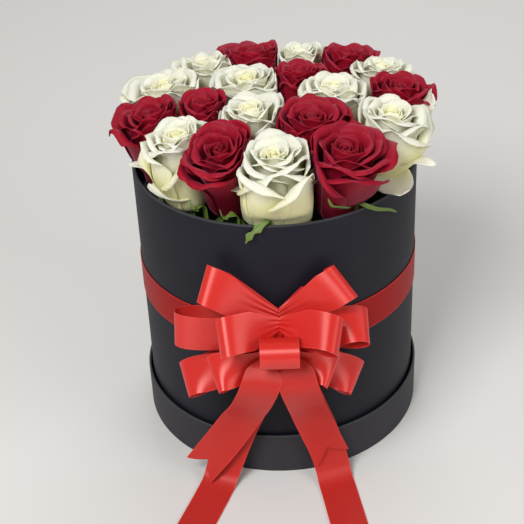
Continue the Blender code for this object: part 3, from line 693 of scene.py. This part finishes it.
# The stem's outline from the foam up, as radius and height against the bloom's base
STEM_OUTLINE = [
    (0.0026, -0.0180), (0.0029, -0.0105), (0.0038, -0.0070), (0.0049, -0.0045), (0.0056, -0.0022),
    (0.0055, -0.0010), (0.0048, -0.0004), (0.0, -0.0003),
]
# A free sepal's stations: distance from the stem and height against the bloom's base
SEPAL_ROUTE = [(0.0040, -0.0022), (0.0085, -0.0012), (0.0130, -0.0020), (0.0180, -0.0050), (0.0225, -0.0092)]
SEPAL_DROOP = (0.8, 1.2)
SEPAL_TURN = math.radians(36)
SEPAL_SPARE = 0.003             # how far a free sepal's end stays from the room's edge
SEPAL_LEAST = 0.0125
# Where side lobes stand along each of a rose's five sepals
SEPAL_LOBES = [(0.70, 0.86), (0.50, 0.72), (0.62,), (), (0.50, 0.72)]
# Sepals at the rim, by rose: heading in degrees, how far the end strays sideways, how far it hangs, which
# is below zero for one that stands up, how far inside the rim it stays, and where along it lobes stand
RIM_SEPALS = {
    10: [(226, 0.0, -1.0, 0.0085, (0.70, 0.86))],
    11: [(254, -0.013, 0.9, 0.0, (0.70, 0.86)), (206, 0.0, -0.8, 0.0085, (0.50, 0.72))],
    12: [(314, 0.027, 0.95, 0.0, ()), (285, -0.017, -1.4, 0.0030, ())],
    13: [(10, 0.006, -1.3, 0.0, ())],
}
# A rim sepal's stations: distance out from the rim's edge and height over it
RIM_ROUTE = [
    (-0.0150, -0.0190), (-0.0075, -0.0125), (-0.0056, 0.0008), (-0.0003, 0.0025), (0.0028, 0.0013),
    (0.0055, -0.0047), (0.0070, -0.0127),
]
RIM_HANGS_FROM = 0.5            # stations past this share of the last one's reach hang or stand
RIM_SAG = 0.9                   # how far a sepal that strays sinks between the rim and its end
SEPAL_ACROSS = 6
SEPAL_ALONG = 30
SEPAL_HALF = (0.0004, 0.0031)   # half its width at the tip and at the root
SEPAL_TAPER = 0.7
SEPAL_LOBE = 0.0022
SEPAL_LOBE_SHARE = 0.07         # half a lobe's length, as a share of the sepal's
SEPAL_CUP = 0.30
SEPAL_THICKNESS = 0.0004
SEPAL_LOOK = 0.02               # how far back and ahead its direction is taken, as a share of its length
LEAF_COLOURS = ((0.060, 0.120, 0.016), (0.180, 0.270, 0.052))
LEAF_STRETCH = (9.0, 1.5)
LEAF_PATTERN = (1.0, 5.0)
LEAF_RELIEF = (0.35, 0.0003)
LEAF_ROUGHNESS = 0.52
LEAF_GLOW = 0.10
LEAF_GLOW_REACH = (0.5, 1.0, 0.2)
LEAF_GLOW_DEPTH = 0.002
STEM_MAP_LENGTH = 0.02


def leaf_finish():
    made, shader = new_finish("rose green")
    fibres = noise(made, stretched(made, own_map(made, "leaf"), LEAF_STRETCH), LEAF_PATTERN)
    feed(made, shader, {
        "Base Color": mixed(made, fibres, *LEAF_COLOURS),
        "Roughness": LEAF_ROUGHNESS,
        "Subsurface Weight": LEAF_GLOW,
        "Subsurface Radius": LEAF_GLOW_REACH,
        "Subsurface Scale": LEAF_GLOW_DEPTH,
        "Normal": raised(made, fibres, LEAF_RELIEF),
    })
    return made


def free_route(rose, course, droop):
    """A sepal's middle line, which leaves the hip level and then hangs, under the bloom."""
    room = room_towards(rose, np.array([rose["base"]]), course[None, :])[0]
    reach = min(max(room - SEPAL_SPARE, SEPAL_LEAST) / SEPAL_ROUTE[-1][0], 1.0)
    route = []
    for out, drop in SEPAL_ROUTE:
        flat = course * out * reach
        height = rose["base"] + drop * droop - flat @ rose["outward"] * math.tan(rose["lean"])
        route.append((*(axis_at(rose, height) + flat), height))
    return route


def rim_route(rose, course, stray, hang, inside):
    """The middle line of a sepal that reaches the box's rim and hangs down over it or stands up at it."""
    axis = axis_at(rose, rose["base"])
    to_rim = way_to_ring(axis, course, tube_radius) - inside
    hip = axis + course * SEPAL_ROUTE[0][0]
    route = [(*hip, rose["base"] + SEPAL_ROUTE[0][1])]
    beside = np.array((-course[1], course[0]))
    for out, over in RIM_ROUTE:
        past = max(out, 0.0) / RIM_ROUTE[-1][0]
        height = tube_top + (over * hang if past > RIM_HANGS_FROM else over)
        height -= RIM_SAG * abs(stray) * hang * past * (1.0 - past)
        route.append((*(axis + course * (to_rim + out) + beside * stray * past), height))
    return route


def unit(arrows):
    return arrows / np.linalg.norm(arrows, axis=1)[:, None]


def course_along(route, share, look):
    """The route's direction at each share of the way along it, from a look back to a look ahead."""
    after = along_route(route, np.minimum(share + look, 1.0))
    before = along_route(route, np.maximum(share - look, 0.0))
    return unit(after - before)


def square_to(course, arrows):
    """The arrows, turned square to the course."""
    return unit(arrows - course * (course * arrows).sum(axis=1)[:, None])


def map_grid(verts, u, lengths, uv_map):
    """Maps a grid's faces flat, from 0 to 1 across and by the lengths along."""
    for vert, across, along in zip(verts, u, lengths):
        for loop in vert.link_loops:
            loop[uv_map].uv = ((across + 1.0) / 2.0, along)


def grow_sepal(bm, route, course, lobes, leaf_map):
    """A narrow blade along the route, cupped across, with side lobes where it has any."""
    verts, u, v = flat_grid(bm, SEPAL_ACROSS, SEPAL_ALONG)
    ahead = course_along(route, v, SEPAL_LOOK)
    side = square_to(ahead, np.array((-course[1], course[0], 0.0)))
    half = between(SEPAL_HALF, np.clip(1.0 - v, 0.0, 1.0) ** SEPAL_TAPER)
    for peak in lobes:
        half = half + SEPAL_LOBE * np.maximum(1.0 - np.abs(v - peak) / SEPAL_LOBE_SHARE, 0.0)
    cup = SEPAL_CUP * half * u * u
    places = along_route(route, v) + side * (half * u)[:, None] + np.cross(ahead, side) * cup[:, None]
    for vert, place in zip(verts, places):
        vert.co = place
    map_grid(verts, u, v, leaf_map)


rose_green = leaf_finish()
draw = random.Random(7)
for rose in roses:
    foot = STEM_FOOT + STEM_GAP - rose["base"]
    outline = [(0.0, foot), (STEM_OUTLINE[0][0], foot)] + STEM_OUTLINE
    bm = turned(outline, STEM_SIDES, False)
    leaf_map = bm.loops.layers.uv.new("leaf")
    for face in bm.faces:
        for loop in face.loops:
            angle = math.atan2(loop.vert.co.y, loop.vert.co.x)
            loop[leaf_map].uv = (angle / math.tau + 0.5, loop.vert.co.z / STEM_MAP_LENGTH)
    for vert, place in zip(bm.verts, plant(rose, np.array([vert.co for vert in bm.verts]))):
        vert.co = place
    at_rim = RIM_SEPALS.get(rose["number"], [])
    first_turn = math.radians(at_rim[0][0]) if at_rim else rose["heading"] + SEPAL_TURN
    for index, lobes in enumerate(SEPAL_LOBES):
        if index < len(at_rim):
            heading, *shape, lobes = at_rim[index]
            course = arrow_at(math.radians(heading))
            route = rim_route(rose, course, *shape)
        else:
            course = arrow_at(first_turn + math.tau * index / len(SEPAL_LOBES))
            route = free_route(rose, course, draw.uniform(*SEPAL_DROOP))
        grow_sepal(bm, route, course, lobes, leaf_map)
    stem = make_piece("rose_%02d_green" % rose["number"], bm, rose_green)
    thicken(stem, SEPAL_THICKNESS, -1.0)
    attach(stem, "root")
    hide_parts("rose_%02d_stem" % rose["number"])


# Ribbon band: one red satin ribbon, 28 mm wide, makes the band, the bow and its tails. It is woven
# close along its length, so the sheen runs across it, and it lies flat round the tube under the bow.

RIBBON_WIDTH = 0.028
RIBBON_THICKNESS = 0.00035
RIBBON_ACROSS = 28
RIBBON_SHARP_ANGLE = math.radians(60)
THREADS = (130.0, 90.0)         # across the ribbon and along it
WEAVE = (1.0, 3.0)
WEAVE_RELIEF = (0.15, 0.0001)
WEAVE_ROUGHNESS = 0.06
# a painted highlight along both edges of the ribbon, where they catch the light
EDGE_HIGHLIGHT_COLOUR = (0.80, 0.055, 0.045)
EDGE_HIGHLIGHT_FROM_MIDDLE = (0.475, 0.490)
EDGE_HIGHLIGHT_SHARE = 0.6
SATIN_TINT = (1.0, 0.58, 0.54)
BAND_STANDS_OFF = 0.0005


def satin_finish(name, low_colour, high_colour, roughness, anisotropy, gloss):
    """Satin, its threads mottled between two colours, with a painted highlight along both edges."""
    made, shader = new_finish(name)
    place = own_map(made, "ribbon")
    weave = noise(made, stretched(made, place, THREADS), WEAVE)
    across = add_node(made, "SeparateXYZ", "X", {"Vector": place})
    off_middle = add_node(made, "Math", "Value", {0: across, 1: 0.5}, operation='SUBTRACT')
    from_middle = add_node(made, "Math", "Value", {0: off_middle}, operation='ABSOLUTE')
    # painted highlight along the edges
    edge_highlight = ranged(made, from_middle, (0.0, EDGE_HIGHLIGHT_SHARE), EDGE_HIGHLIGHT_FROM_MIDDLE)
    feed(made, shader, {
        "Base Color": mixed(made, edge_highlight, mixed(made, weave, low_colour, high_colour), EDGE_HIGHLIGHT_COLOUR),
        "Roughness": ranged(made, weave, (roughness - WEAVE_ROUGHNESS, roughness + WEAVE_ROUGHNESS)),
        "Anisotropic": anisotropy,
        "Specular Tint": SATIN_TINT,
        "Specular IOR Level": gloss,
        "Normal": raised(made, weave, WEAVE_RELIEF),
        "Tangent": add_node(made, "Tangent", "Tangent", {}, direction_type='UV_MAP', uv_map="ribbon"),
    })
    return made


def ribbon(name, node, satin, points_at, along):
    """A ribbon bent to points_at(u, v), for u from -1 to 1 across it and v from 0 to 1 along it."""
    bm = bmesh.new()
    threads = bm.loops.layers.uv.new("ribbon")
    verts, u, v = flat_grid(bm, RIBBON_ACROSS, along)
    middle = points_at(np.zeros(along + 1), np.linspace(0.0, 1.0, along + 1))
    length = float(np.linalg.norm(np.diff(middle, axis=0), axis=1).sum())
    map_grid(verts, u, v * length / RIBBON_WIDTH, threads)
    for vert, place in zip(verts, points_at(u, v)):
        vert.co = place
    bmesh.ops.remove_doubles(bm, verts=bm.verts[:], dist=TINY)
    bm.normal_update()
    bmesh.ops.solidify(bm, geom=bm.faces[:], thickness=RIBBON_THICKNESS)
    bmesh.ops.recalc_face_normals(bm, faces=bm.faces[:])
    piece = make_piece(name, bm, satin, RIBBON_SHARP_ANGLE)
    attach(piece, "root")
    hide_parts(node)


def row_of(x, y, z):
    return np.column_stack(np.broadcast_arrays(x, y, z))


# The band's satin is the same ribbon coloured darker than the loops': painted shade on the band.
band_shaded_satin = satin_finish(
    "red satin, band, painted shade", (0.28, 0.008, 0.007), (0.34, 0.012, 0.010),
    roughness=0.48, anisotropy=0.5, gloss=0.12)
band_low, band_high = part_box("ribbon_band")


def band_points(u, v):
    angle = math.tau * v + math.pi / 2
    radius = tube_radius + BAND_STANDS_OFF
    height = (band_low[2] + band_high[2]) / 2 + u * RIBBON_WIDTH / 2
    return row_of(radius * np.cos(angle), radius * np.sin(angle), height)


ribbon("band", "ribbon_band", band_shaded_satin, band_points, CARD_SIDES)


# Bow centre: a tie of the same ribbon, drawn to a knot at both ends, gathers the loops. A small round loop
# stands in front of it, and its upper end fans back into the tie in pleats.

TIE_ALONG = 24
TIE_MIDDLE = -0.001
TIE_HALF = 0.0052
TIE_BOTTOM = 0.121
TIE_TOP = 0.1510
TIE_FRONT = 0.1268
TIE_BACK = 0.1115
TIE_WAIST = 0.10
TIE_STRAIGHT = 0.40             # how far from its middle it keeps its width, as a share of its length
TIE_END_LEAST = 0.01
TIE_PLEAT = 0.07
TIE_PLEATS = 9.0
CENTRE_ALONG = 90
CENTRE_RADIUS = 0.0110
CENTRE_AT = (-0.0015, -0.1482, 0.1445)
CENTRE_OPENS_AT = math.radians(-100)
CENTRE_CLOSES_AT = math.radians(285)
CENTRE_END_INSIDE = 0.0008      # how far inside its start the loop's end lies
CENTRE_END_FROM = 0.75
FAN_AT_TIE = (-0.0010, -0.1262, 0.1400)
FAN_TIE_HALF = 0.0055
FAN_SHARE = 0.14                # how much of the centre ribbon's length is fan
FAN_PLEAT = 0.0010
FAN_PLEATS = 5.0


def tie_points(u, v):
    angle = math.pi * u
    drawn_in = rounded(np.abs(v - 0.5) - TIE_STRAIGHT, 0.5 - TIE_STRAIGHT, TIE_END_LEAST)
    pleat = drawn_in * (1.0 + TIE_PLEAT * np.cos(TIE_PLEATS * angle))
    half = TIE_HALF * (1.0 - TIE_WAIST * np.sin(math.pi * v))
    return row_of(
        TIE_MIDDLE + half * pleat * np.cos(angle),
        -(TIE_FRONT + TIE_BACK) / 2 + (TIE_FRONT - TIE_BACK) / 2 * pleat * np.sin(angle),
        between((TIE_BOTTOM, TIE_TOP), v))


def centre_points(u, v):
    """The fan from the tie down behind the loop, then the loop itself, up, forward, down and round."""
    fan = np.clip(v / FAN_SHARE, 0.0, 1.0)
    round_loop = np.clip((v - FAN_SHARE) / (1.0 - FAN_SHARE), 0.0, 1.0)
    angle = between((CENTRE_OPENS_AT, CENTRE_CLOSES_AT), round_loop)
    tucked = smooth_step((round_loop - CENTRE_END_FROM) / (1.0 - CENTRE_END_FROM))
    radius = CENTRE_RADIUS - CENTRE_END_INSIDE * tucked
    opened = smooth_step(fan)
    half = between((FAN_TIE_HALF, RIBBON_WIDTH / 2), opened)
    pleat = FAN_PLEAT * np.cos(FAN_PLEATS * math.pi * u) * (1.0 - opened)
    back_to_tie = FAN_AT_TIE[1] - CENTRE_AT[1] + CENTRE_RADIUS * math.sin(CENTRE_OPENS_AT)
    up_to_tie = FAN_AT_TIE[2] - CENTRE_AT[2] - CENTRE_RADIUS * math.cos(CENTRE_OPENS_AT)
    return row_of(
        between((FAN_AT_TIE[0], CENTRE_AT[0]), fan) + u * half,
        CENTRE_AT[1] - radius * np.sin(angle) + back_to_tie * (1.0 - fan),
        CENTRE_AT[2] + radius * np.cos(angle) + up_to_tie * (1.0 - fan) + pleat)


glossy_satin = satin_finish(
    "red satin, looped", (0.56, 0.016, 0.013), (0.68, 0.026, 0.020),
    roughness=0.36, anisotropy=0.9, gloss=1.0)
ribbon("bow_tie", "bow_centre", glossy_satin, tie_points, TIE_ALONG)
ribbon("centre_loop", "bow_centre", glossy_satin, centre_points, CENTRE_ALONG)


# Bow loops: each one leaves the tie in fine pleats, opens to the ribbon's full width, rolls round its
# end and comes back. They are set in pairs, one above, one beside, one in front and two below.

# Each loop: name, height and half width of its gathered root, depth of the root from the box's axis,
# end as (x, y, z), turn of its end edge from upright seen from the front, tilt of that edge back
# towards the card, depth of its opening, how fast it opens to its full width, per metre of reach, and
# how late on its way out it starts to turn
LOOPS = [
    ("bow_loop_left_top", 0.1535, 0.0060, 0.1158, (-0.0550, -0.1170, 0.1860), 20, 28, 0.014, 0.19, 0.7),
    ("bow_loop_left_side", 0.1420, 0.0062, 0.1155, (-0.0780, -0.1130, 0.1455), 3, 6, 0.017, 0.27, 2),
    ("bow_loop_left_front", 0.1530, 0.0058, 0.1243, (-0.0445, -0.1450, 0.1570), -9, 40, 0.014, 0.34, 0.4),
    ("bow_loop_left_low", 0.1280, 0.0062, 0.1158, (-0.0740, -0.1165, 0.0980), -24, 52, 0.013, 0.17, 2),
    ("bow_loop_left_low_front", 0.1270, 0.0065, 0.1235, (-0.0510, -0.1360, 0.1170), -27, 48, 0.011, 0.17, 2),
    ("bow_loop_right_top", 0.1540, 0.0060, 0.1158, (0.0475, -0.1170, 0.1835), -40, 26, 0.013, 0.19, 0.7),
    ("bow_loop_right_side", 0.1420, 0.0062, 0.1165, (0.0635, -0.1225, 0.1465), 0, 60, 0.015, 0.27, 1.2),
    ("bow_loop_right_front", 0.1530, 0.0058, 0.1243, (0.0415, -0.1475, 0.1560), 20, 54, 0.015, 0.34, 0.4),
    ("bow_loop_right_low", 0.1280, 0.0062, 0.1158, (0.0560, -0.1145, 0.0920), 40, 50, 0.011, 0.17, 2),
    ("bow_loop_right_low_front", 0.1270, 0.0065, 0.1225, (0.0375, -0.1335, 0.1148), 34, 44, 0.009, 0.17, 2),
]
LOOP_ALONG = 72
LOOP_ROOT_APART = 0.0014
LOOP_SWELL_PEAK = 0.65
PLEAT_DEPTH = 0.0009
PLEAT_COUNT = 4
PLEAT_DRIFT = 2.5               # how far the pleats wander across the ribbon on its way out
ROOT_PLEATS = 0.35              # how deep they still are right at the root
LEAVES_ROOT_BY = 0.12


def loop_points(root_height, root_half, root_depth, end, end_turn, end_tilt, opening, flare, lateness):
    """Points of a loop that leaves the tie, turns round at its end and comes back."""
    side = math.copysign(1.0, end[0])
    root = np.array((TIE_MIDDLE, -root_depth, root_height))
    reach = np.array(end) - root
    length = float(np.linalg.norm(reach))
    turn = math.radians(end_turn)
    tilt = math.radians(end_tilt)
    end_edge = np.array((math.sin(turn) * math.cos(tilt), math.sin(tilt), math.cos(turn) * math.cos(tilt)))
    root_edge = np.array((0.0, 0.0, 1.0))

    def points_at(u, v):
        out = (1.0 - np.cos(math.tau * v)) / 2.0
        swell = np.sin(math.tau * v) * np.sin(math.pi * v) ** 2 / LOOP_SWELL_PEAK
        edge = unit(between((root_edge, end_edge), smooth_step(out ** lateness)[:, None]))
        front = side * unit(np.cross(edge, reach))
        half = np.minimum(RIBBON_WIDTH / 2, root_half + flare * out * length)
        leaving = smooth_step(out / LEAVES_ROOT_BY)
        gather = leaving * (1.0 - smooth_step(half * 2.0 / RIBBON_WIDTH)) + ROOT_PLEATS * (1.0 - leaving)
        pleats = PLEAT_DEPTH * np.cos(PLEAT_COUNT * math.pi * u + PLEAT_DRIFT * out) * gather
        depth = -opening / 2 * swell + LOOP_ROOT_APART * (2.0 * v - 1.0) + pleats
        return root + reach * out[:, None] + front * depth[:, None] + edge * (half * u)[:, None]

    return points_at


for name, *place in LOOPS:
    ribbon(name + "_satin", name, glossy_satin, loop_points(*place), LOOP_ALONG)


# Bow tails: two long ends run down over the lid and out along the surface, and two short ones hang in
# front of them. All four are cut to a notch.

# Each tail: name, how deep its end is notched, and the route of its middle line from the tie
TAILS = [
    ("tail_left_long", 0.010, [
        (-0.0065, -0.1279, 0.1315), (-0.0122, -0.1392, 0.1220), (-0.0172, -0.1446, 0.1100),
        (-0.0225, -0.1382, 0.0930), (-0.0302, -0.1240, 0.0670), (-0.0392, -0.1180, 0.0400),
        (-0.0480, -0.1190, 0.0140), (-0.0535, -0.1270, 0.0022), (-0.0600, -0.1440, 0.0006),
        (-0.0690, -0.1680, 0.0006), (-0.0770, -0.1890, 0.0006)]),
    ("tail_left_short", 0.012, [
        (-0.0065, -0.1293, 0.1315), (-0.0122, -0.1411, 0.1225), (-0.0178, -0.1470, 0.1100),
        (-0.0237, -0.1412, 0.0920), (-0.0340, -0.1275, 0.0660), (-0.0500, -0.1212, 0.0370),
        (-0.0690, -0.1200, 0.0100)]),
    ("tail_right_long", 0.010, [
        (0.0048, -0.1279, 0.1315), (0.0088, -0.1392, 0.1220), (0.0120, -0.1446, 0.1100),
        (0.0162, -0.1382, 0.0930), (0.0214, -0.1240, 0.0670), (0.0286, -0.1180, 0.0400),
        (0.0355, -0.1190, 0.0140), (0.0385, -0.1270, 0.0022), (0.0415, -0.1440, 0.0006),
        (0.0450, -0.1680, 0.0006), (0.0480, -0.1890, 0.0006)]),
    ("tail_right_short", 0.013, [
        (0.0048, -0.1293, 0.1315), (0.0088, -0.1411, 0.1225), (0.0120, -0.1470, 0.1100),
        (0.0160, -0.1412, 0.0920), (0.0212, -0.1275, 0.0660), (0.0288, -0.1212, 0.0400),
        (0.0370, -0.1200, 0.0180)]),
]
TAIL_ALONG = 90
TAIL_ROOT_HALF = 0.0038
TAIL_FLARE = 0.013              # how far below its root a tail has its full width
TAIL_LOOK = 0.01
NOTCH_START = 0.7


def tail_points(notch, route):
    """Points of a ribbon end that falls along its route and is cut to a notch."""
    total = sum(math.dist(a, b) for a, b in zip(route, route[1:]))

    def points_at(u, v):
        notched = smooth_step((v - NOTCH_START) / (1.0 - NOTCH_START))
        share = v * (1.0 - (1.0 - np.abs(u)) * notch / total * notched)
        here = along_route(route, share)
        level = square_to(course_along(route, share, TAIL_LOOK), row_of(-here[:, 1], here[:, 0], 0.0))
        opened = smooth_step((route[0][2] - here[:, 2]) / TAIL_FLARE)
        half = between((TAIL_ROOT_HALF, RIBBON_WIDTH / 2), opened)
        return here + level * (half * u)[:, None]

    return points_at


# The tails' satin is the same ribbon coloured a little darker than the loops': painted shade.
tail_shaded_satin = satin_finish(
    "red satin, tails, painted shade", (0.44, 0.022, 0.018), (0.54, 0.030, 0.024),
    roughness=0.45, anisotropy=0.6, gloss=0.45)
for name, *course in TAILS:
    ribbon(name + "_satin", name, tail_shaded_satin, tail_points(*course), TAIL_ALONG)


# Stage: a plain pale floor and soft studio light from three sides, with the camera in front of the box
# and above it, looking down on the blooms.

FLOOR_RADIUS = 6.0
FLOOR_SIDES = 64
FLOOR_DROP = 0.0002
FLOOR_COLOUR = (0.72, 0.71, 0.69)
FLOOR_ROUGHNESS = 0.8
# Each lamp: name, place, the point that it faces, width, height and power in watts
LAMPS = [
    ("key", (-0.75, -1.35, 1.75), (0, 0, 0.18), 0.9, 0.9, 38),
    ("fill", (1.4, -1.2, 1.0), (0, 0, 0.15), 1.2, 0.9, 12),
    ("back", (0.3, 1.5, 1.5), (0, 0, 0.2), 1.4, 0.8, 12),
]
STUDIO_COLOUR = (0.90, 0.88, 0.86)
STUDIO_STRENGTH = 0.30
CAMERA_PLACE = (0.0, -0.842, 0.6801)
CAMERA_YAW = math.radians(-0.903)
CAMERA_PITCH = math.radians(33.381)
CAMERA_ROLL = math.radians(-2.699)
CAMERA_LENS = 84.56
CAMERA_SENSOR = 36

floor_finish, floor_shader = new_finish("floor finish")
feed(floor_finish, floor_shader, {"Base Color": FLOOR_COLOUR, "Roughness": FLOOR_ROUGHNESS})
bm = bmesh.new()
bmesh.ops.create_circle(bm, cap_ends=True, segments=FLOOR_SIDES, radius=FLOOR_RADIUS)
bmesh.ops.translate(bm, verts=bm.verts[:], vec=(0, 0, -FLOOR_DROP))
floor = make_piece("floor", bm, floor_finish)

for name, place, aim, width, height, power in LAMPS:
    light = bpy.data.lights.new(name, 'AREA')
    light.shape = 'RECTANGLE'
    light.size = width
    light.size_y = height
    light.energy = power
    lamp = add_object(name, light)
    lamp.location = place
    lamp.rotation_euler = (Vector(aim) - Vector(place)).to_track_quat('-Z', 'Y').to_euler()
studio = bpy.data.worlds.new("studio")
studio.use_nodes = True
feed(studio, studio.node_tree.nodes["Background"], {"Color": STUDIO_COLOUR, "Strength": STUDIO_STRENGTH})
bpy.context.scene.world = studio
bpy.context.scene.view_settings.view_transform = 'Standard'

ahead = Vector((
    math.sin(CAMERA_YAW) * math.cos(CAMERA_PITCH), math.cos(CAMERA_YAW) * math.cos(CAMERA_PITCH),
    -math.sin(CAMERA_PITCH)))
level = ahead.cross(Vector((0, 0, 1))).normalized()
upward = level.cross(ahead)
right = level * math.cos(CAMERA_ROLL) + upward * math.sin(CAMERA_ROLL)
top = upward * math.cos(CAMERA_ROLL) - level * math.sin(CAMERA_ROLL)
lens = bpy.data.cameras.new("camera")
lens.lens = CAMERA_LENS
lens.sensor_width = CAMERA_SENSOR
camera = add_object("camera", lens)
camera.matrix_world = Matrix.Translation(CAMERA_PLACE) @ Matrix((right, top, -ahead)).transposed().to_4x4()
bpy.context.scene.camera = camera
